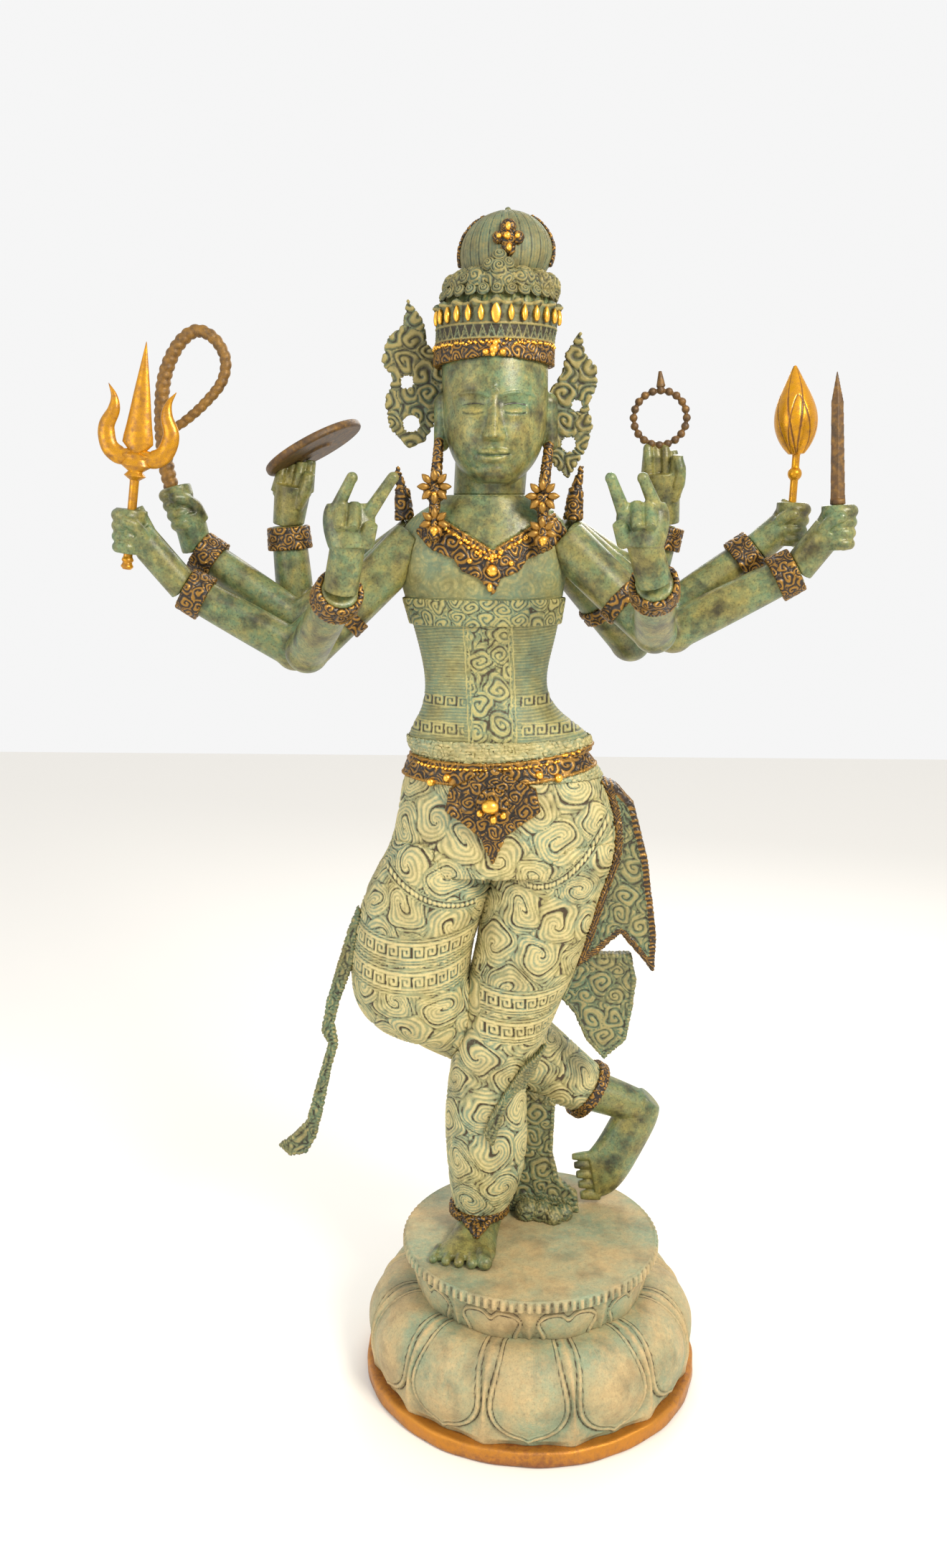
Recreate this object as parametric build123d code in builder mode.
from build123d import *
from math import cos, radians, sin
import os

# Eight-armed standing deity in cast bronze on a round lotus base, about 1.9 m tall.
# Millimetres, +Z up, origin at the centre of the base's underside, the figure faces -Y.
# "Right" and "left" are the figure's own: its right side is at -X.

# ---------------------------------------------------------------- driving dimensions
# Base
RIM_RADIUS = 286.0  # brass foot ring, outside
RIM_WIDTH = 30.0
RIM_HEIGHT = 28.0
RIM_ROUND = 7.0
LOWER_RADIUS = 281.0  # widest girth of the lower lotus, over the petals
LOWER_HEIGHT = 137.0
LOWER_PETALS = 12
WAIST_RADIUS = 199.0  # where the two lotus drums meet
UPPER_HEIGHT = 58.0
UPPER_RADIUS = 214.0
UPPER_PETALS = 10
PETAL_RISE = 9.0  # how far a petal stands out of its drum
DECK_RADIUS = 220.0  # the plate that the feet stand on
DECK_THICKNESS = 22.0
DECK_RIBS = 90
WALL = 6.0  # bronze wall of every hollow casting

# Ornaments
ORNAMENT = 5.0  # how far a cast-on brass band stands proud
PLATE = 8.0  # thickness of flat scroll plates and hanging cloths
BRACELET_WIDTH = 36.0
ARMLET_WIDTH = 24.0

# Limbs
SHOULDER_RADIUS = 37.0
UPPER_ARM_RADIUS = 33.0
ELBOW_RADIUS = 34.5
FOREARM_RADIUS = 31.5
WRIST_RADIUS = 27.0
FINGER_RADIUS = 9.0

# Attributes that lift out of the hands, and their sockets
TANG_RADIUS = 7.0  # round tang of the sword
TANG_LENGTH = 52.0
STEM_RADIUS = 6.0  # stem of the lotus bud
STEM_LENGTH = 60.0  # the length of stem inside the hand
FIT_GAP = 0.35  # radial play of a tang in its socket

DECK = RIM_HEIGHT + LOWER_HEIGHT + UPPER_HEIGHT + DECK_THICKNESS  # height of the deck's top

os.makedirs("parts", exist_ok=True)


# ---------------------------------------------------------------- shared shapes
def at(x, y, height):
    """A place on the figure, with its height counted from the deck."""
    return Vector(x, y, DECK + height)


def stack(sections):
    """A smooth upright form through level ovals: (height, x, y, half width, half depth)."""
    with BuildPart() as form:
        for height, x, y, half_width, half_depth in sections:
            with BuildSketch(Plane(origin=at(x, y, height))):
                Ellipse(half_width, half_depth)
        loft()
    return form.part


def inset(sections, by):
    """The same level ovals one wall smaller, and one wall short at both ends."""
    smaller = [(h, x, y, a - by, b - by) for h, x, y, a, b in sections]
    smaller[0] = (smaller[0][0] + by, *smaller[0][1:])
    smaller[-1] = (smaller[-1][0] - by, *smaller[-1][1:])
    return smaller


def grown(sections, by):
    """The same level ovals, wider all round, at the same heights."""
    return [(h, x, y, a + by, b + by) for h, x, y, a, b in sections]


def bar(start, end, start_radius, end_radius):
    """A round bar that tapers from one point to another."""
    run = end - start
    with BuildPart() as form:
        with Locations(Plane(origin=start, z_dir=run)):
            if abs(start_radius - end_radius) < 0.05:
                Cylinder(start_radius, run.length, align=(Align.CENTER, Align.CENTER, Align.MIN))
            else:
                Cone(start_radius, end_radius, run.length, align=(Align.CENTER, Align.CENTER, Align.MIN))
    return form.part


def limb(points, girths):
    """Tapered bars from point to point, with a ball at every point."""
    with BuildPart() as form:
        for start, end, first, second in zip(points, points[1:], girths, girths[1:]):
            add(bar(start, end, first, second))
        for centre, girth in zip(points, girths):
            with Locations(centre):
                Sphere(girth * 1.02)
    return form.part


def straight(start, end, first, second):
    """A straight smooth tube that swells a little in the middle."""
    run = end - start
    with BuildPart() as form:
        for share, radius in ((0.0, first), (0.5, (first + second) / 2 + 1.0), (1.0, second)):
            with BuildSketch(Plane(origin=start + run * share, z_dir=run)):
                Circle(radius)
        loft()
    return form.part


def tube(stations):
    """A smooth round limb through (x, y, height, radius), each ring square to its path."""
    centres = [at(x, y, height) for x, y, height, radius in stations]
    last = len(stations) - 1
    with BuildPart() as form:
        for number, (x, y, height, radius) in enumerate(stations):
            ahead = centres[min(number + 1, last)] - centres[max(number - 1, 0)]
            with BuildSketch(Plane(origin=centres[number], x_dir=(0, 1, 0.02), z_dir=ahead)):
                Circle(radius)
        loft()
    return form.part


def prism(outline, near, far):
    """An upright plate: the outline (x, height) carried along Y from near to far."""
    with BuildPart() as form:
        with BuildSketch(Plane(origin=(0, near, 0), x_dir=(1, 0, 0), z_dir=(0, -1, 0))):
            with BuildLine():
                Polyline([(x, DECK + h) for x, h in outline], close=True)
            make_face()
        extrude(amount=near - far)
    return form.part


def layer(bottom, top):
    """Everything between two levels, measured from the ground."""
    with BuildPart() as form:
        with BuildSketch(Plane.XY.offset(bottom)):
            Circle(900)
        extrude(amount=top - bottom)
    return form.part


def slab(low, high):
    """Everything between two heights of the figure, measured from the deck."""
    return layer(DECK + low, DECK + high)


def ring(centre, axis, radius, width, thickness):
    """A band round an axis, centred on a point; radius is its outside."""
    with BuildPart() as form:
        with Locations(Plane(origin=centre, z_dir=axis)):
            Cylinder(radius, width)
            Cylinder(radius - thickness, width, mode=Mode.SUBTRACT)
    return form.part


# ---------------------------------------------------------------- base
with BuildPart() as base_rim:
    with BuildSketch():
        Circle(RIM_RADIUS)
        Circle(RIM_RADIUS - RIM_WIDTH, mode=Mode.SUBTRACT)
    extrude(amount=RIM_HEIGHT)
    top_edges = base_rim.edges().group_by(Axis.Z)[-1].sort_by(SortBy.LENGTH)
    fillet(top_edges[-1], radius=RIM_ROUND)
base_rim.part.label = "base_rim"
export_step(base_rim.part, "parts/base_rim.step")

LOWER_TOP = RIM_HEIGHT + LOWER_HEIGHT
UPPER_TOP = LOWER_TOP + UPPER_HEIGHT


def turned(profile, low, high):
    """A solid of revolution whose side is the smooth curve through (radius, z)."""
    with BuildPart() as form:
        with BuildSketch(Plane.XZ):
            with BuildLine():
                Spline(profile)
                Polyline(profile[-1], (0, high), (0, low), profile[0])
            make_face()
        revolve(axis=Axis.Z)
    return form.part


def drum(profile, petals, low, high):
    """A hollow lotus drum with one ring of petals standing out of its side."""
    height = high - low
    half_width = 0.47 * (profile[0][0] + profile[-1][0]) / 2 * 6.2832 / petals
    outer = [(r + PETAL_RISE, z) for r, z in profile]
    inner = [(r - WALL, z) for r, z in profile]
    with BuildPart() as petal:
        with BuildSketch(Plane(origin=(0, 0, 0), x_dir=(1, 0, 0), z_dir=(0, -1, 0))):
            with BuildLine():
                Polyline((-half_width, low), (-half_width, low + 0.45 * height))
                ThreePointArc(
                    (-half_width, low + 0.45 * height), (-0.62 * half_width, low + 0.78 * height), (0, high)
                )
                ThreePointArc(
                    (0, high), (0.62 * half_width, low + 0.78 * height), (half_width, low + 0.45 * height)
                )
                Polyline((half_width, low + 0.45 * height), (half_width, low), (-half_width, low))
            make_face()
        extrude(amount=LOWER_RADIUS * 1.2)
        add(turned(outer, low, high), mode=Mode.INTERSECT)
    with BuildPart() as hollow:
        add(turned(inner, low, high))
        add(layer(low + WALL, high - WALL), mode=Mode.INTERSECT)
    with BuildPart() as form:
        add(turned(profile, low, high))
        with PolarLocations(0, petals, start_angle=180 / petals):
            add(petal.part)
        add(hollow.part, mode=Mode.SUBTRACT)
    return form.part


belly = LOWER_RADIUS - PETAL_RISE
seat = RIM_RADIUS - RIM_ROUND - PETAL_RISE - 1.0
lower_profile = [
    (seat, RIM_HEIGHT),
    (belly, RIM_HEIGHT + 0.3 * LOWER_HEIGHT),
    (0.91 * belly, RIM_HEIGHT + 0.7 * LOWER_HEIGHT),
    (WAIST_RADIUS, LOWER_TOP),
]
upper_profile = [
    (WAIST_RADIUS - PETAL_RISE, LOWER_TOP),
    (UPPER_RADIUS - PETAL_RISE - 6.0, LOWER_TOP + 0.55 * UPPER_HEIGHT),
    (UPPER_RADIUS - PETAL_RISE, UPPER_TOP),
]
with BuildPart() as lower_lotus:
    add(drum(lower_profile, LOWER_PETALS, RIM_HEIGHT, LOWER_TOP))
lower_lotus.part.label = "lower_lotus"
export_step(lower_lotus.part, "parts/lower_lotus.step")

with BuildPart() as upper_lotus:
    add(drum(upper_profile, UPPER_PETALS, LOWER_TOP, UPPER_TOP))
upper_lotus.part.label = "upper_lotus"
export_step(upper_lotus.part, "parts/upper_lotus.step")

with BuildPart() as deck_plate:
    with BuildSketch(Plane.XY.offset(UPPER_TOP)):
        Circle(DECK_RADIUS)
        with PolarLocations(DECK_RADIUS, DECK_RIBS):
            Circle(0.22 * 6.2832 * DECK_RADIUS / DECK_RIBS, mode=Mode.SUBTRACT)
    extrude(amount=DECK_THICKNESS)
    with BuildSketch(Plane.XY.offset(UPPER_TOP + WALL)):
        Circle(UPPER_RADIUS - 3 * WALL)
    extrude(amount=DECK_THICKNESS - 2 * WALL, mode=Mode.SUBTRACT)
deck_plate.part.label = "deck_plate"
export_step(deck_plate.part, "parts/deck_plate.step")

# ---------------------------------------------------------------- hips and legs
hip_sections = [
    (650, -64, 0, 190, 92),
    (730, -45, 0, 177, 96),
    (795, -50, 0, 160, 92),
    (840, -57, 0, 136, 84),
]
standing_sections = [
    (30, -89, 12, 38, 42),
    (57, -83, 12, 52, 50),
    (140, -77, 10, 67, 60),
    (197, -77, 10, 69, 62),
    (276, -74, 10, 66, 63),
    (356, -53, 8, 75, 68),
    (425, -33, 5, 82, 74),
    (494, -11, 0, 87, 80),
    (547, 2, 0, 91, 84),
    (650, 30, 0, 95, 87),
    (700, 45, 0, 85, 80),
]
thigh_sections = [
    (352, -168, 8, 52, 48),
    (378, -186, 4, 80, 70),
    (415, -198, 0, 94, 82),
    (461, -203, 0, 98, 86),
    (566, -186, 0, 101, 87),
    (650, -158, 0, 95, 86),
    (700, -150, 0, 80, 78),
]
shin_stations = [
    (-196, 6, 440, 80),
    (-128, 46, 384, 82),
    (-50, 84, 322, 72),
    (40, 104, 254, 56),
    (108, 115, 205, 43),
]
hips_form = stack(hip_sections)
standing_form = stack(standing_sections)

with BuildPart() as hips:
    add(hips_form)
    add(stack(inset(hip_sections, WALL)), mode=Mode.SUBTRACT)
hips.part.label = "hips"
export_step(hips.part, "parts/hips.step")

with BuildPart() as standing_leg:
    add(standing_form)
    add(stack(inset(standing_sections, WALL)), mode=Mode.SUBTRACT)
    add(hips_form, mode=Mode.SUBTRACT)
standing_leg.part.label = "standing_leg"
export_step(standing_leg.part, "parts/standing_leg.step")

with BuildPart() as bent_form:
    add(stack(thigh_sections))
    add(tube(shin_stations))
with BuildPart() as bent_hollow:
    add(stack(inset(thigh_sections, WALL)))
    add(tube([(x, y, h, r - WALL) for x, y, h, r in shin_stations[:-1]]))
with BuildPart() as bent_leg:
    add(bent_form.part)
    add(bent_hollow.part, mode=Mode.SUBTRACT)
    add(hips_form, mode=Mode.SUBTRACT)
    add(standing_form, mode=Mode.SUBTRACT)
bent_leg.part.label = "bent_leg"
export_step(bent_leg.part, "parts/bent_leg.step")

# Standing foot, flat on the deck with its toes towards -Y
ANKLE_X = -89.0
foot_stations = [
    (58, -84, 26, 22),
    (20, -88, 37, 42),
    (-30, -96, 40, 36),
    (-80, -107, 50, 23),
    (-108, -114, 52, 13),
]
with BuildPart() as standing_foot:
    for y, x, half_width, top in foot_stations:
        with BuildSketch(Plane(origin=at(x, y, 0), x_dir=(1, 0, 0), z_dir=(0, -1, 0))):
            Ellipse(half_width, top)
    loft()
    for toe in range(5):
        reach = 0.9 * toe * toe
        size = 12.5 if toe == 0 else 9.5 - 0.6 * toe
        root = at(-78 - 18.5 * toe, -92 + reach, 8)
        tip = at(-74 - 21.5 * toe, -124 + reach, size * 0.8)
        add(limb([root, tip], [size, size]))
    with Locations(at(ANKLE_X, 14, 0)):
        Cylinder(35, 40, align=(Align.CENTER, Align.CENTER, Align.MIN))
    add(slab(0, 60), mode=Mode.INTERSECT)
    add(standing_form, mode=Mode.SUBTRACT)
standing_foot.part.label = "standing_foot"
export_step(standing_foot.part, "parts/standing_foot.step")

with BuildPart() as standing_anklet:
    add(ring(at(-89, 12, 36), Vector(0, 0, 1), 52, 14, 20))
    for row in range(5):
        for bead in range(5 - row):
            with Locations(at(-90 + 10 * (bead - (4 - row) / 2), -38 - 8 * row, 36 - 2.2 * row)):
                Sphere(6.2)
    add(standing_form, mode=Mode.SUBTRACT)
    add(standing_foot.part, mode=Mode.SUBTRACT)
standing_anklet.part.label = "standing_anklet"
export_step(standing_anklet.part, "parts/standing_anklet.step")

# Bent foot: heel up, toes pointing to -X one above the other, behind the standing leg
bent_foot_stations = [
    (212, 128, 190, 45, 24, 20),
    (192, 126, 160, 45, 38, 29),
    (164, 118, 112, 36, 44, 29),
    (138, 109, 72, 24, 48, 24),
    (110, 101, 53, 10, 45, 14),
]
TOE_SIZES = (12.0, 10.4, 9.9, 9.3, 8.7)
TOE_HEIGHTS = (14.5, 35.3, 54.1, 71.9, 88.3)
with BuildPart() as bent_foot:
    for x, y, height, lean, half_width, half_depth in bent_foot_stations:
        across = (-sin(radians(lean)), 0, cos(radians(lean)))
        along = (-cos(radians(lean)), 0, -sin(radians(lean)))
        with BuildSketch(Plane(origin=at(x, y, height), x_dir=across, z_dir=along)):
            Ellipse(half_width, half_depth)
    loft()
    add(straight(at(100, 114, 211), at(190, 125, 176), 36, 29))
    for toe, (size, height) in enumerate(zip(TOE_SIZES, TOE_HEIGHTS)):
        root = at(124 - 2 * toe, 103.3, height + 1.3)
        add(straight(root, at(89 - 4 * toe, 97.7, height), size, size * 0.62))
    add(bent_form.part, mode=Mode.SUBTRACT)
bent_foot.part.label = "bent_foot"
export_step(bent_foot.part, "parts/bent_foot.step")

cuff = at(*shin_stations[-1][:3])
shin_axis = (cuff - at(*shin_stations[-2][:3])).normalized()
with BuildPart() as bent_anklet:
    add(ring(cuff - shin_axis * 11, shin_axis, 54, 18, 24))
    add(bent_form.part, mode=Mode.SUBTRACT)
bent_anklet.part.label = "bent_anklet"
export_step(bent_anklet.part, "parts/bent_anklet.step")

# ---------------------------------------------------------------- torso and its ornaments
torso_sections = [
    (840, -57, 0, 136, 84),
    (888, -66, 0, 126, 79),
    (975, -79, 0, 99, 68),
    (1050, -80, 0, 116, 76),
    (1137, -84, 0, 133, 82),
    (1195, -80, 2, 124, 70),
    (1228, -76, 2, 84, 60),
    (1241, -75, 2, 64, 56),
]
torso_form = stack(torso_sections)
torso_skin = stack(grown(torso_sections, ORNAMENT))
with BuildPart() as torso:
    add(torso_form)
    add(stack(inset(torso_sections, WALL)), mode=Mode.SUBTRACT)
torso.part.label = "torso"
export_step(torso.part, "parts/torso.step")

with BuildPart() as belt:
    add(stack(grown(hip_sections, ORNAMENT)))
    add(torso_skin)
    add(slab(800, 868), mode=Mode.INTERSECT)
    add(torso_form, mode=Mode.SUBTRACT)
    add(hips_form, mode=Mode.SUBTRACT)
belt.part.label = "belt"
export_step(belt.part, "parts/belt.step")

BUCKLE = [(-64, 678), (-84, 722), (-108, 742), (-137, 762), (-130, 796), (-98, 812), (-64, 830)]
buckle_outline = BUCKLE + [(-128 - x, h) for x, h in BUCKLE[-2:0:-1]]
with BuildPart() as belt_buckle:
    add(prism(buckle_outline, -104, -40))
    with Locations(Plane(origin=at(-64, -104, 776), z_dir=(0, -1, 0))):
        Cylinder(24, 10, align=(Align.CENTER, Align.CENTER, Align.MIN))
    with Locations(at(-64, -112, 776)):
        Sphere(15)
    add(hips_form, mode=Mode.SUBTRACT)
    add(belt.part, mode=Mode.SUBTRACT)
belt_buckle.part.label = "belt_buckle"
export_step(belt_buckle.part, "parts/belt_buckle.step")

with BuildPart() as bust_band:
    add(torso_skin)
    add(slab(1044, 1084), mode=Mode.INTERSECT)
    add(torso_form, mode=Mode.SUBTRACT)
bust_band.part.label = "bust_band"
export_step(bust_band.part, "parts/bust_band.step")

# ---------------------------------------------------------------- head and crown
head_sections = [
    (1258, -64, -44, 26, 30),
    (1276, -64, -36, 50, 52),
    (1310, -64, -26, 70, 70),
    (1355, -64, -18, 78, 79),
    (1405, -65, -12, 80, 82),
    (1461, -65, -8, 78, 80),
]
with BuildPart() as head_form:
    add(stack(head_sections))
    add(bar(at(-75, 2, 1228), at(-68, -2, 1330), 55, 56))
    # nose, lips and long ears
    add(limb([at(-64, -97, 1384), at(-64, -108, 1344)], [7, 11]))
    for side in (-1, 1):
        add(limb([at(-64 + side * 12, -90, 1316), at(-64 + side * 3, -97, 1314)], [6, 7]))
        add(limb([at(-64 + side * 79, -6, 1378), at(-64 + side * 83, -6, 1318)], [15, 12]))
with BuildPart() as head:
    add(head_form.part)
    add(torso_form, mode=Mode.SUBTRACT)
    add(stack(inset(head_sections, WALL)[2:]), mode=Mode.SUBTRACT)
head.part.label = "head"
export_step(head.part, "parts/head.step")

with BuildPart() as headband:
    add(stack([(1415, -66, -10, 90, 88), (1440, -67, -8, 91, 89), (1461, -66, -8, 90, 88)]))
    above_band = [(-220, 1400), (90, 1400), (90, 1424), (-64, 1438), (-220, 1424)]
    add(prism(above_band, -300, 300), mode=Mode.SUBTRACT)
    add(head_form.part, mode=Mode.SUBTRACT)
headband.part.label = "headband"
export_step(headband.part, "parts/headband.step")

cap_sections = [
    (1461, -66, -8, 84, 82),
    (1500, -62, -6, 84, 82),
    (1530, -58, -4, 76, 74),
    (1552, -55, -2, 58, 56),
]
cap_form = stack(cap_sections)
with BuildPart() as hair_cap:
    add(cap_form)
    add(stack(inset(cap_sections, WALL)), mode=Mode.SUBTRACT)
hair_cap.part.label = "hair_cap"
export_step(hair_cap.part, "parts/hair_cap.step")

with BuildPart() as gem_band:
    add(stack([(1461, -66, -8, 89, 87), (1490, -63, -7, 91, 89), (1512, -61, -6, 91, 89)]))
    add(cap_form, mode=Mode.SUBTRACT)
    for gem in range(9):
        angle = radians(-90 + 20 * (gem - 4))
        with Locations(at(-61 + 91 * cos(angle), -6 + 89 * sin(angle), 1512)):
            Sphere(9 if gem == 4 else 7)
    add(cap_form, mode=Mode.SUBTRACT)
gem_band.part.label = "gem_band"
export_step(gem_band.part, "parts/gem_band.step")

knot_sections = [
    (1545, -54, 0, 54, 52),
    (1570, -52, 0, 64, 60),
    (1597, -49, 0, 69, 63),
    (1625, -48, 0, 58, 54),
    (1643, -47, 0, 38, 36),
    (1652, -47, 0, 16, 15),
]
knot_form = stack(knot_sections)
CURLS = 14
with BuildPart() as curl_ring:
    for curl in range(CURLS):
        angle = radians(-90 + 360 * curl / CURLS)
        size = 25 if curl == 0 else 21.5
        with Locations(at(-56 + 68 * cos(angle), -3 + 65 * sin(angle), 1545 - 4 * abs(cos(angle)))):
            Sphere(size)
    add(cap_form, mode=Mode.SUBTRACT)
    add(knot_form, mode=Mode.SUBTRACT)
    add(gem_band.part, mode=Mode.SUBTRACT)
curl_ring.part.label = "curl_ring"
export_step(curl_ring.part, "parts/curl_ring.step")

with BuildPart() as topknot:
    add(knot_form)
    add(stack(inset(knot_sections[:5], WALL)), mode=Mode.SUBTRACT)
    add(cap_form, mode=Mode.SUBTRACT)
    add(limb([at(-47, 0, 1650), at(-47, 0, 1654)], [5, 5]))
topknot.part.label = "topknot"
export_step(topknot.part, "parts/topknot.step")

with BuildPart() as topknot_edging:
    add(stack(grown(knot_sections, 4)))
    add(prism([(-300, 1500), (200, 1500), (200, 1700), (-300, 1700)], -8, 8), mode=Mode.INTERSECT)
    add(slab(1575, 1646), mode=Mode.INTERSECT)
    add(knot_form, mode=Mode.SUBTRACT)
    add(curl_ring.part, mode=Mode.SUBTRACT)
topknot_edging.part.label = "topknot_edging"
export_step(topknot_edging.part, "parts/topknot_edging.step")

with BuildPart() as topknot_jewel:
    for dx, dh, size in ((0, 15, 11), (0, -15, 11), (-13, 0, 10), (13, 0, 10), (0, 0, 12)):
        with Locations(at(-45 + dx, -60, 1604 + dh)):
            Sphere(size)
    add(knot_form, mode=Mode.SUBTRACT)
    add(curl_ring.part, mode=Mode.SUBTRACT)
topknot_jewel.part.label = "topknot_jewel"
export_step(topknot_jewel.part, "parts/topknot_jewel.step")

# ---------------------------------------------------------------- ornaments beside the head
WING_BACK = 26.0
right_wing_outline = [
    (-130, 1392),
    (-152, 1446),
    (-172, 1468),
    (-176, 1500),
    (-200, 1532),
    (-206, 1496),
    (-232, 1474),
    (-240, 1440),
    (-222, 1418),
    (-236, 1384),
    (-228, 1342),
    (-200, 1314),
    (-176, 1324),
    (-160, 1350),
]
left_wing_outline = [
    (2, 1360),
    (22, 1402),
    (38, 1424),
    (42, 1452),
    (64, 1484),
    (70, 1452),
    (88, 1432),
    (90, 1404),
    (76, 1378),
    (84, 1346),
    (74, 1310),
    (48, 1268),
    (30, 1282),
    (14, 1306),
]
with BuildPart() as ear_wing_right:
    add(prism(right_wing_outline, WING_BACK - PLATE, WING_BACK))
    add(bar(at(-196, 0, 1350), at(-196, 60, 1350), 14, 14), mode=Mode.SUBTRACT)
    add(bar(at(-202, 0, 1412), at(-202, 60, 1412), 11, 11), mode=Mode.SUBTRACT)
    add(head_form.part, mode=Mode.SUBTRACT)
    add(headband.part, mode=Mode.SUBTRACT)
ear_wing_right.part.label = "ear_wing_right"
export_step(ear_wing_right.part, "parts/ear_wing_right.step")

with BuildPart() as ear_wing_left:
    add(prism(left_wing_outline, WING_BACK - PLATE, WING_BACK))
    add(bar(at(48, 0, 1318), at(48, 60, 1318), 12, 12), mode=Mode.SUBTRACT)
    add(bar(at(60, 0, 1376), at(60, 60, 1376), 9, 9), mode=Mode.SUBTRACT)
    add(head_form.part, mode=Mode.SUBTRACT)
    add(headband.part, mode=Mode.SUBTRACT)
ear_wing_left.part.label = "ear_wing_left"
export_step(ear_wing_left.part, "parts/ear_wing_left.step")


def pendant(top, middle, bottom):
    """A chain of beads with a round flower half way down."""
    with BuildPart() as form:
        add(limb([top, middle, bottom], [7, 9, 6]))
        with Locations(middle):
            Sphere(17)
        with Locations(bottom):
            Sphere(10)
    return form.part


with BuildPart() as ear_pendant_right:
    add(pendant(at(-149, -34, 1318), at(-153, -66, 1246), at(-154, -84, 1182)))
    add(head.part, mode=Mode.SUBTRACT)
    add(torso_skin, mode=Mode.SUBTRACT)
ear_pendant_right.part.label = "ear_pendant_right"
export_step(ear_pendant_right.part, "parts/ear_pendant_right.step")

with BuildPart() as ear_pendant_left:
    add(pendant(at(17, -34, 1312), at(8, -66, 1232), at(10, -84, 1168)))
    add(head.part, mode=Mode.SUBTRACT)
    add(torso_skin, mode=Mode.SUBTRACT)
ear_pendant_left.part.label = "ear_pendant_left"
export_step(ear_pendant_left.part, "parts/ear_pendant_left.step")

# ---------------------------------------------------------------- arms
# name: shoulder, elbow and wrist
ARMS = {
    "front_arm_right": (at(-188, -12, 1172), at(-355, -50, 1003), at(-275, -226, 1107)),
    "front_arm_left": (at(42, -12, 1172), at(182, -50, 1036), at(164, -226, 1118)),
    "trident_arm": (at(-186, 26, 1178), at(-384, 10, 1000), at(-554, -10, 1099)),
    "sword_arm": (at(42, 26, 1178), at(216, 10, 1031), at(402, -10, 1130)),
    "noose_arm": (at(-176, 48, 1184), at(-386, 66, 1038), at(-549, 60, 1156)),
    "lotus_arm": (at(32, 48, 1184), at(220, 66, 1061), at(349, 60, 1158)),
    "disc_arm": (at(-160, 62, 1182), at(-398, 118, 1034), at(-409, 110, 1194)),
    "mala_arm": (at(18, 62, 1182), at(157, 118, 1006), at(206, 110, 1197)),
}


def arm_form(name):
    """Upper arm and forearm, with a ball for the elbow."""
    shoulder, elbow, wrist = ARMS[name]
    with BuildPart() as form:
        add(straight(shoulder, elbow, SHOULDER_RADIUS, UPPER_ARM_RADIUS))
        with Locations(elbow):
            Sphere(ELBOW_RADIUS)
        add(straight(elbow, wrist, FOREARM_RADIUS, WRIST_RADIUS))
    return form.part


arm_forms = {name: arm_form(name) for name in ARMS}
arm_order = list(ARMS)  # each arm gives way to those before it
for number, name in enumerate(arm_order):
    with BuildPart() as arm:
        add(arm_forms[name])
        add(torso_form, mode=Mode.SUBTRACT)
        for front in arm_order[:number]:
            add(arm_forms[front], mode=Mode.SUBTRACT)
    with BuildPart() as trimmed_arm:
        add(arm.part.solids().sort_by(SortBy.VOLUME)[-1])
    trimmed_arm.part.label = name
    export_step(trimmed_arm.part, f"parts/{name}.step")

# ---------------------------------------------------------------- collar
COLLAR = [(-65, 1092), (-86, 1118), (-112, 1128), (-124, 1146), (-160, 1160), (-184, 1186), (-150, 1234)]
COLLAR += [(-70, 1300)]
collar_outline = COLLAR + [(-138 - x, h) for x, h in COLLAR[-2:0:-1]]
with BuildPart() as collar:
    add(torso_skin)
    add(prism(collar_outline, -300, 300), mode=Mode.INTERSECT)
    with BuildPart(mode=Mode.PRIVATE) as back_cut:
        add(prism([(-400, 900), (300, 900), (300, 1176), (-400, 1176)], 10, 300))
    add(back_cut.part, mode=Mode.SUBTRACT)
    add(torso_form, mode=Mode.SUBTRACT)
    for name in ARMS:
        add(arm_forms[name], mode=Mode.SUBTRACT)
collar.part.label = "collar"
export_step(collar.part, "parts/collar.step")

# ---------------------------------------------------------------- bands on the arms
RIGHT_ARMS = ("front_arm_right", "trident_arm", "noose_arm", "disc_arm")
LEFT_ARMS = ("front_arm_left", "sword_arm", "lotus_arm", "mala_arm")
BANDED_RIGHT = ("front_arm_right", "disc_arm")
BANDED_LEFT = ("front_arm_left", "mala_arm")


def bracelets(names):
    """A gold cuff just before each wrist."""
    with BuildPart() as group:
        for name in names:
            shoulder, elbow, wrist = ARMS[name]
            run = (wrist - elbow).normalized()
            edge = wrist - run * 2
            start = edge - run * BRACELET_WIDTH
            add(bar(start, edge, WRIST_RADIUS + 1.9 * ORNAMENT, WRIST_RADIUS + 1.5 * ORNAMENT))
            add(arm_forms[name], mode=Mode.SUBTRACT)
    return group.part


def armlets(names):
    """A band round each upper arm, with the neighbouring arms left clear."""
    bands = []
    for name in names:
        shoulder, elbow, wrist = ARMS[name]
        upper = elbow - shoulder
        middle = shoulder + upper * 0.66
        half = upper.normalized() * (ARMLET_WIDTH / 2)
        girth = (SHOULDER_RADIUS + UPPER_ARM_RADIUS) / 2 + ORNAMENT
        with BuildPart() as band:
            add(bar(middle - half, middle + half, girth + 0.5, girth))
            for other in ARMS:
                add(arm_forms[other], mode=Mode.SUBTRACT)
            add(torso_skin, mode=Mode.SUBTRACT)
            for done in bands:
                add(done, mode=Mode.SUBTRACT)
        bands.append(band.part.solids().sort_by(SortBy.VOLUME)[-1])
    return bands


with BuildPart() as bracelets_right:
    add(bracelets(RIGHT_ARMS))
bracelets_right.part.label = "bracelets_right"
export_step(bracelets_right.part, "parts/bracelets_right.step")

with BuildPart() as bracelets_left:
    add(bracelets(LEFT_ARMS))
bracelets_left.part.label = "bracelets_left"
export_step(bracelets_left.part, "parts/bracelets_left.step")

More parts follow.
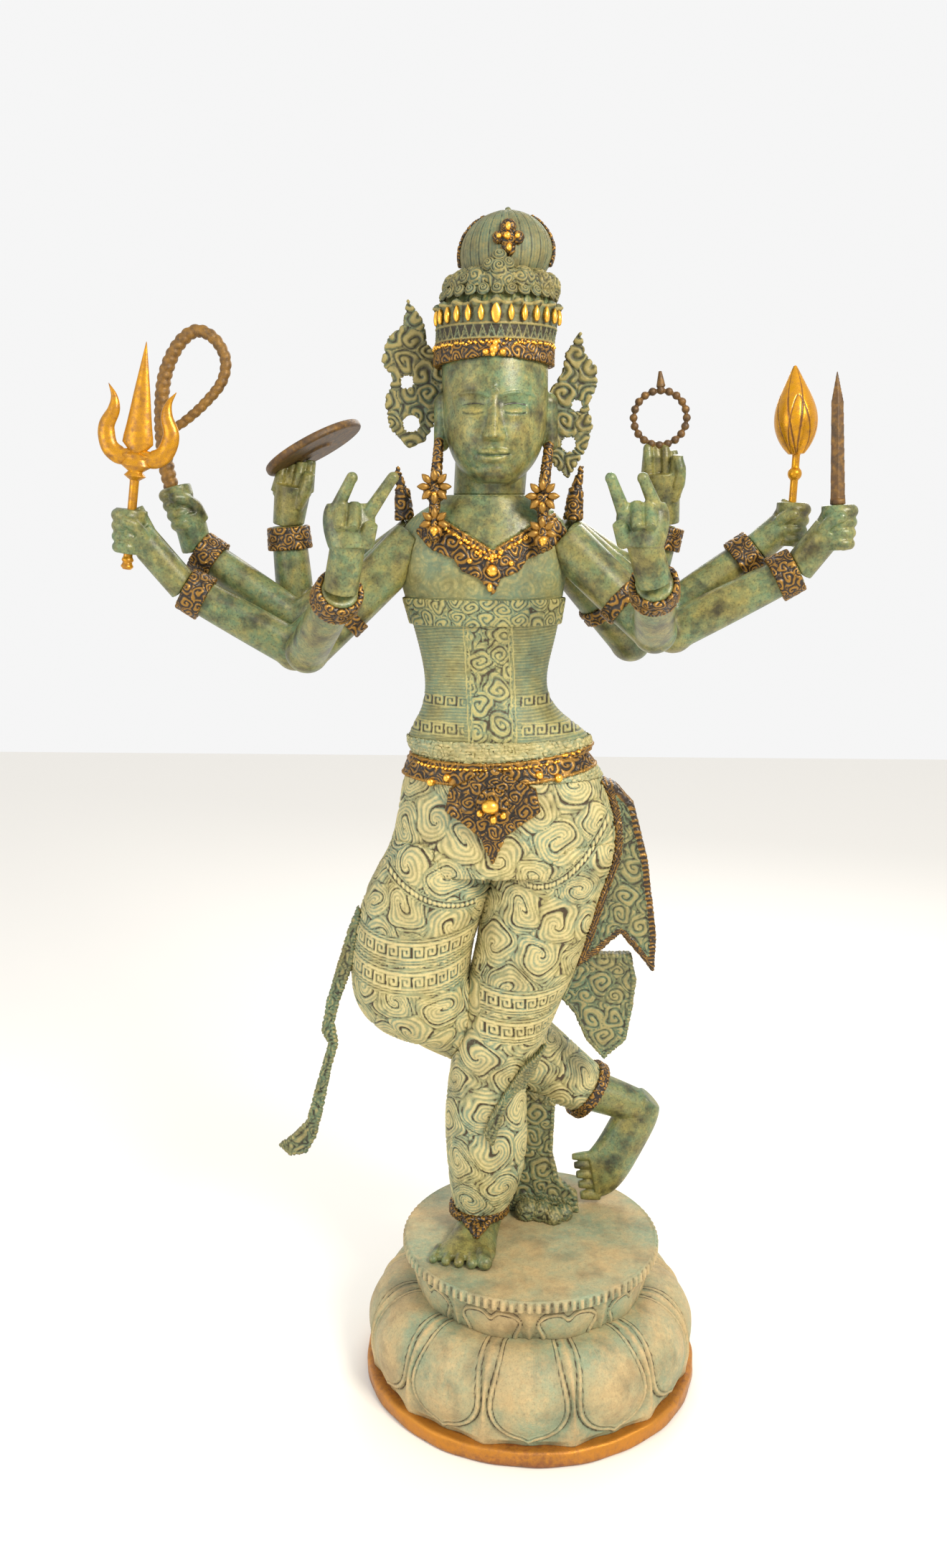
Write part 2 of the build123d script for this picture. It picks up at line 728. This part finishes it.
with BuildPart() as armlets_right:
    add(armlets(BANDED_RIGHT))
armlets_right.part.label = "armlets_right"
export_step(armlets_right.part, "parts/armlets_right.step")

with BuildPart() as armlets_left:
    add(armlets(BANDED_LEFT))
armlets_left.part.label = "armlets_left"
export_step(armlets_left.part, "parts/armlets_left.step")

# ---------------------------------------------------------------- attributes
TRIDENT_END = at(-636, -40, 1126)
TRIDENT_TIP = at(-588, -40, 1466)
trident_run = (TRIDENT_TIP - TRIDENT_END).normalized()
trident_across = Vector(trident_run.Z, 0, -trident_run.X)


def on_trident(along, across):
    """A place on the trident: along its shaft from the end, and sideways from its axis."""
    return TRIDENT_END + trident_run * along + trident_across * across


SHAFT_RADIUS = 7.5
with BuildPart() as trident:
    add(limb([on_trident(6, 0), on_trident(160, 0)], [SHAFT_RADIUS + 1.5, SHAFT_RADIUS]))
    add(limb([on_trident(14, 0), on_trident(20, 0)], [14, 14]))
    add(limb([on_trident(150, 0), on_trident(166, 0)], [17, 12]))
    # crescent fork and its two curved prongs
    for side in (-1, 1):
        fork = [(150, 10), (158, 34), (182, 47), (215, 44), (246, 40)]
        places = [on_trident(along - (8 if side > 0 else 0), side * across) for along, across in fork]
        add(limb(places, [9, 9.5, 8.5, 6.5, 2]))
    # middle blade: widens from a neck, then tapers to its point
    tine = [on_trident(164, 0), on_trident(190, 0), on_trident(222, 0), on_trident(340, 0)]
    add(limb(tine, [8, 9, 15, 2]))
trident.part.label = "trident"
export_step(trident.part, "parts/trident.step")

SWORD_FOOT = at(453, -32, 1226)  # where the blade meets the fist
SWORD_TIP = at(442, -32, 1419)
sword_run = (SWORD_TIP - SWORD_FOOT).normalized()
with BuildPart() as sword:
    with BuildSketch(Plane(origin=SWORD_FOOT, x_dir=(1, 0, 0), z_dir=sword_run)):
        with BuildLine():
            Polyline((-12, 0), (0, -6), (12, 0), (0, 6), close=True)
        make_face()
    with BuildSketch(Plane(origin=SWORD_FOOT + sword_run * 150, x_dir=(1, 0, 0), z_dir=sword_run)):
        with BuildLine():
            Polyline((-10, 0), (0, -5), (10, 0), (0, 5), close=True)
        make_face()
    with BuildSketch(Plane(origin=SWORD_TIP, x_dir=(1, 0, 0), z_dir=sword_run)):
        with BuildLine():
            Polyline((-1.5, 0), (0, -1), (1.5, 0), (0, 1), close=True)
        make_face()
    loft(ruled=True)
    with Locations(Plane(origin=SWORD_FOOT, z_dir=sword_run)):
        Cylinder(11, 8, align=(Align.CENTER, Align.CENTER, Align.MIN))
        Cylinder(TANG_RADIUS, TANG_LENGTH, align=(Align.CENTER, Align.CENTER, Align.MAX))
sword.part.label = "sword"
export_step(sword.part, "parts/sword.step")

noose_path = [
    at(-572, 46, 1226),
    at(-588, 50, 1290),
    at(-594, 54, 1380),
    at(-572, 56, 1462),
    at(-526, 56, 1494),
    at(-490, 54, 1452),
    at(-512, 48, 1392),
    at(-588, 38, 1334),
]
with BuildPart() as noose:
    add(limb(noose_path, [15, 14, 12.5, 11, 10, 9.5, 9, 9]))
noose.part.label = "noose"
export_step(noose.part, "parts/noose.step")

DISC_RADIUS = 85.0
DISC_THICKNESS = 13.0
DISC_CENTRE = at(-362, 98, 1317)
DISC_AXIS = Vector(-0.47, 0.06, 0.88)
with BuildPart() as disc:
    with Locations(Plane(origin=DISC_CENTRE, z_dir=DISC_AXIS)):
        Cylinder(DISC_RADIUS, DISC_THICKNESS)
        Cylinder(DISC_RADIUS * 0.34, DISC_THICKNESS + 8)
    fillet(disc.edges().filter_by(GeomType.CIRCLE).sort_by(SortBy.RADIUS)[-2:], radius=DISC_THICKNESS / 3)
disc.part.label = "disc"
export_step(disc.part, "parts/disc.step")

MALA_BEADS = 20
MALA_RADIUS = 42.0
MALA_BEAD = MALA_RADIUS * sin(radians(180 / MALA_BEADS)) - 0.05  # neighbours all but touch
MALA_CENTRE = at(194, 92, 1362)
with BuildPart() as mala:
    for bead in range(MALA_BEADS):
        angle = radians(90 + 360 * bead / MALA_BEADS)
        with Locations(MALA_CENTRE + Vector(MALA_RADIUS * cos(angle), 0, MALA_RADIUS * sin(angle))):
            Sphere(MALA_BEAD)
    finial = MALA_CENTRE + Vector(0, 0, MALA_RADIUS + MALA_BEAD - 1)
    add(bar(finial, finial + Vector(-2, 0, 24), 7.5, 2.5))
mala.part.label = "mala"
export_step(mala.part, "parts/mala.step")

BUD_FOOT = at(404, 56, 1304)
BUD_TIP = at(396, 56, 1437)
STEM_AXIS = Vector(0.035, 0, 1).normalized()
STEM_MOUTH = BUD_FOOT - STEM_AXIS * 72  # top of the hand
with BuildPart() as lotus_bud:
    bud_run = BUD_TIP - BUD_FOOT
    for share, radius in ((0.0, 12), (0.2, 29), (0.42, 33), (0.68, 23), (0.88, 10), (1.0, 2)):
        with BuildSketch(Plane(origin=BUD_FOOT + bud_run * share, z_dir=bud_run)):
            Circle(radius)
    loft()
    with Locations(Plane(origin=BUD_FOOT + STEM_AXIS * 8, z_dir=STEM_AXIS)):
        Cylinder(STEM_RADIUS, 80 + STEM_LENGTH, align=(Align.CENTER, Align.CENTER, Align.MAX))
    with Locations(BUD_FOOT - STEM_AXIS * 30):
        Sphere(STEM_RADIUS + 5)
lotus_bud.part.label = "lotus_bud"
export_step(lotus_bud.part, "parts/lotus_bud.step")


# ---------------------------------------------------------------- hands
def fist(wrist, grip, grip_axis, palm_side):
    """A closed hand: four curled fingers stacked along the grip, a palm and a thumb."""
    reach = grip - wrist
    with BuildPart() as form:
        for finger in range(4):
            centre = grip + grip_axis * (25 - 16.5 * finger)
            with Locations(Plane(origin=centre, z_dir=grip_axis)):
                Cylinder(24 - 1.2 * finger, 2 * FINGER_RADIUS)
        add(bar(wrist, grip + palm_side * 14, WRIST_RADIUS - 2, 25))
        add(bar(wrist + reach * 0.5 + palm_side * 10, grip + grip_axis * 38 + palm_side * 8, 13, 10))
    return form.part


def blessing_hand(wrist, palm, tips, side):
    """An open hand with the first and last fingers raised and the middle two folded."""
    with BuildPart() as form:
        for rise, half_width, half_depth in ((-14, 29, 24), (8, 35, 21), (34, 35, 15), (46, 30, 9)):
            with BuildSketch(Plane(origin=palm + Vector(0, 0, rise))):
                Ellipse(half_width, half_depth)
        loft()
        add(bar(wrist, palm + Vector(0, 0, 2), WRIST_RADIUS - 2, 24))
        for tip, across in zip(tips, (-23, 23)):
            add(bar(palm + Vector(across, 0, 26), tip - Vector(0, 0, 7), 10.5, 7.5))
            with Locations(tip - Vector(0, 0, 8)):
                Sphere(8)
        for across in (-9, 9):
            add(bar(palm + Vector(across, -4, 44), palm + Vector(across, -28, 12), 9.5, 8.5))
        add(bar(palm + Vector(side * 22, -4, -8), palm + Vector(side * 34, -24, 18), 13, 9))
    return form.part


def raised_hand(wrist, top, lean):
    """A hand that holds something on its fingertips."""
    reach = top - wrist
    with BuildPart() as form:
        add(bar(wrist, wrist + reach * 0.66, WRIST_RADIUS - 2, 30))
        for finger in range(4):
            spread = Vector(-24 + 16 * finger, -4 + 6 * (finger % 2), 0)
            add(bar(wrist + reach * 0.55 + spread, top + spread * 0.8 + lean * finger, 11, 8))
        add(bar(wrist + reach * 0.35 + Vector(16, -14, 0), top + Vector(26, -20, -14), 12, 9))
    return form.part


def trimmed(form, *others):
    """A hand with its arm, its bracelet and what it holds cut away."""
    with BuildPart() as hand:
        add(form)
        for other in others:
            add(other, mode=Mode.SUBTRACT)
    return hand.part.solids().sort_by(SortBy.VOLUME)[-1]


TRIDENT_GRIP = on_trident(60, 0)
SWORD_GRIP = SWORD_FOOT - sword_run * 34
NOOSE_GRIP = at(-568, 46, 1222)
LOTUS_GRIP = STEM_MOUTH - STEM_AXIS * 36

with BuildPart() as front_hand_right:
    finger_tips = (at(-251, -262, 1268), at(-195, -262, 1268))
    shape = blessing_hand(ARMS["front_arm_right"][2], at(-258, -250, 1180), finger_tips, 1)
    add(trimmed(shape, arm_forms["front_arm_right"], bracelets_right.part))
front_hand_right.part.label = "front_hand_right"
export_step(front_hand_right.part, "parts/front_hand_right.step")

with BuildPart() as front_hand_left:
    finger_tips = (at(99, -262, 1267), at(142, -262, 1267))
    shape = blessing_hand(ARMS["front_arm_left"][2], at(144, -250, 1181), finger_tips, -1)
    add(trimmed(shape, arm_forms["front_arm_left"], bracelets_left.part))
front_hand_left.part.label = "front_hand_left"
export_step(front_hand_left.part, "parts/front_hand_left.step")

with BuildPart() as trident_hand:
    shape = fist(ARMS["trident_arm"][2], TRIDENT_GRIP, trident_run, Vector(0.8, 0.2, -0.2))
    add(trimmed(shape, arm_forms["trident_arm"], bracelets_right.part, trident.part))
trident_hand.part.label = "trident_hand"
export_step(trident_hand.part, "parts/trident_hand.step")

with BuildPart() as sword_socket:
    with Locations(Plane(origin=SWORD_FOOT + sword_run * 20, z_dir=sword_run)):
        depth = TANG_LENGTH + 20 + FIT_GAP
        Cylinder(TANG_RADIUS + FIT_GAP, depth, align=(Align.CENTER, Align.CENTER, Align.MAX))
with BuildPart() as sword_seat:
    with Locations(Plane(origin=SWORD_FOOT - sword_run * FIT_GAP, z_dir=sword_run)):
        Cylinder(60, 60, align=(Align.CENTER, Align.CENTER, Align.MIN))
with BuildPart() as sword_hand:
    shape = fist(ARMS["sword_arm"][2], SWORD_GRIP, sword_run, Vector(-0.8, 0.2, -0.2))
    cuts = (arm_forms["sword_arm"], bracelets_left.part, sword_socket.part, sword_seat.part)
    add(trimmed(shape, *cuts))
sword_hand.part.label = "sword_hand"
export_step(sword_hand.part, "parts/sword_hand.step")

with BuildPart() as noose_hand:
    shape = fist(ARMS["noose_arm"][2], NOOSE_GRIP, Vector(-0.25, 0, 0.97), Vector(0.6, 0.2, -0.5))
    add(trimmed(shape, arm_forms["noose_arm"], bracelets_right.part, noose.part))
noose_hand.part.label = "noose_hand"
export_step(noose_hand.part, "parts/noose_hand.step")

with BuildPart() as stem_socket:
    with Locations(Plane(origin=STEM_MOUTH + STEM_AXIS * 20, z_dir=STEM_AXIS)):
        Cylinder(STEM_RADIUS + FIT_GAP, 300, align=(Align.CENTER, Align.CENTER, Align.MAX))
with BuildPart() as lotus_hand:
    shape = fist(ARMS["lotus_arm"][2], LOTUS_GRIP, STEM_AXIS, Vector(-0.8, 0.2, -0.2))
    add(trimmed(shape, arm_forms["lotus_arm"], bracelets_left.part, stem_socket.part))
lotus_hand.part.label = "lotus_hand"
export_step(lotus_hand.part, "parts/lotus_hand.step")

with BuildPart() as disc_hand:
    shape = raised_hand(ARMS["disc_arm"][2], at(-392, 100, 1292), Vector(2, 0, 2))
    add(trimmed(shape, arm_forms["disc_arm"], bracelets_right.part, disc.part))
disc_hand.part.label = "disc_hand"
export_step(disc_hand.part, "parts/disc_hand.step")

with BuildPart() as mala_hand:
    shape = raised_hand(ARMS["mala_arm"][2], at(196, 96, 1318), Vector(0, 0, -2))
    add(trimmed(shape, arm_forms["mala_arm"], bracelets_left.part, mala.part))
mala_hand.part.label = "mala_hand"
export_step(mala_hand.part, "parts/mala_hand.step")

# ---------------------------------------------------------------- cast cloth
figure_forms = (hips_form, standing_form, bent_form.part)


def cloth(outline, near, far, around):
    """A cast cloth panel: an outline carried through Y, cut back to what it hangs against."""
    with BuildPart() as panel:
        add(prism(outline, near, far))
        for form in around:
            add(form, mode=Mode.SUBTRACT)
    return panel.part.solids().sort_by(SortBy.VOLUME)[-1]


SASH = [
    (98, 800),
    (128, 790),
    (158, 757),
    (182, 666),
    (199, 539),
    (197, 478),
    (172, 510),
    (142, 545),
    (108, 512),
    (73, 486),
    (84, 600),
    (96, 700),
]
with BuildPart() as hip_sash:
    add(cloth(SASH, -22, 14, (*figure_forms, belt.part)))
hip_sash.part.label = "hip_sash"
export_step(hip_sash.part, "parts/hip_sash.step")

SCARF_SIDE = [(60, 520), (100, 500), (161, 501), (170, 456), (165, 410), (155, 352), (120, 319)]
SCARF_SIDE += [(92, 350), (70, 400), (48, 424)]
SCARF_FRONT = [(112, 430), (96, 380), (60, 330), (4, 292), (-40, 262), (-64, 184), (-78, 206)]
SCARF_FRONT += [(-62, 246), (-16, 316), (38, 350), (76, 400), (84, 436)]
with BuildPart() as lower_scarf:
    add(cloth(SCARF_SIDE, -4, 16, (*figure_forms, hip_sash.part)))
    with BuildPart(mode=Mode.PRIVATE) as wrap:
        add(stack(grown(standing_sections, 11)))
        add(prism(SCARF_FRONT, -200, 6), mode=Mode.INTERSECT)
        add(standing_form, mode=Mode.SUBTRACT)
    add(wrap.part)
lower_scarf.part.label = "lower_scarf"
export_step(lower_scarf.part, "parts/lower_scarf.step")

RIBBON = [(-286, 584), (-302, 545), (-340, 420), (-350, 368), (-339, 344), (-352, 300), (-366, 252)]
RIBBON += [(-378, 206), (-404, 178)]
RIBBON += [(-428, 160), (-410, 142), (-382, 148), (-366, 176), (-350, 240), (-338, 300), (-325, 346)]
RIBBON += [(-331, 382), (-320, 424), (-276, 540)]
with BuildPart() as left_ribbon:
    add(cloth(RIBBON, -26, -26 + PLATE, figure_forms))
left_ribbon.part.label = "left_ribbon"
export_step(left_ribbon.part, "parts/left_ribbon.step")

REAR = [(-52, 0), (-56, 110), (-40, 260), (-20, 330), (30, 330), (44, 284), (40, 200), (36, 110)]
REAR += [(48, 60), (80, 34), (84, 0)]
with BuildPart() as rear_panel:
    behind = (*figure_forms, standing_foot.part, bent_foot.part, bent_anklet.part)
    add(cloth(REAR, 62, 62 + 2 * PLATE, behind))
    for x, y, height, size in ((-6, 44, 12, 20), (20, 40, 12, 18), (40, 30, 10, 16), (58, 44, 8, 15)):
        with Locations(at(x, y, height)):
            Sphere(size)
    add(slab(-200, 0), mode=Mode.SUBTRACT)
    for form in (standing_form, standing_foot.part, bent_foot.part, bent_anklet.part):
        add(form, mode=Mode.SUBTRACT)
rear_panel.part.label = "rear_panel"
export_step(rear_panel.part, "parts/rear_panel.step")

# ---------------------------------------------------------------- scrolls on the shoulders
with BuildPart() as shoulder_horns:
    for side, x in ((-1, -206), (1, 56)):
        add(bar(at(x, 8, 1204), at(x + side * 4, 8, 1250), 15, 11))
        add(bar(at(x + side * 4, 8, 1246), at(x + side * 12, 10, 1284), 9, 3))
    for name in ("front_arm_right", "front_arm_left", "trident_arm", "sword_arm", "noose_arm", "lotus_arm"):
        add(arm_forms[name], mode=Mode.SUBTRACT)
    add(torso_skin, mode=Mode.SUBTRACT)
shoulder_horns.part.label = "shoulder_horns"
export_step(shoulder_horns.part, "parts/shoulder_horns.step")
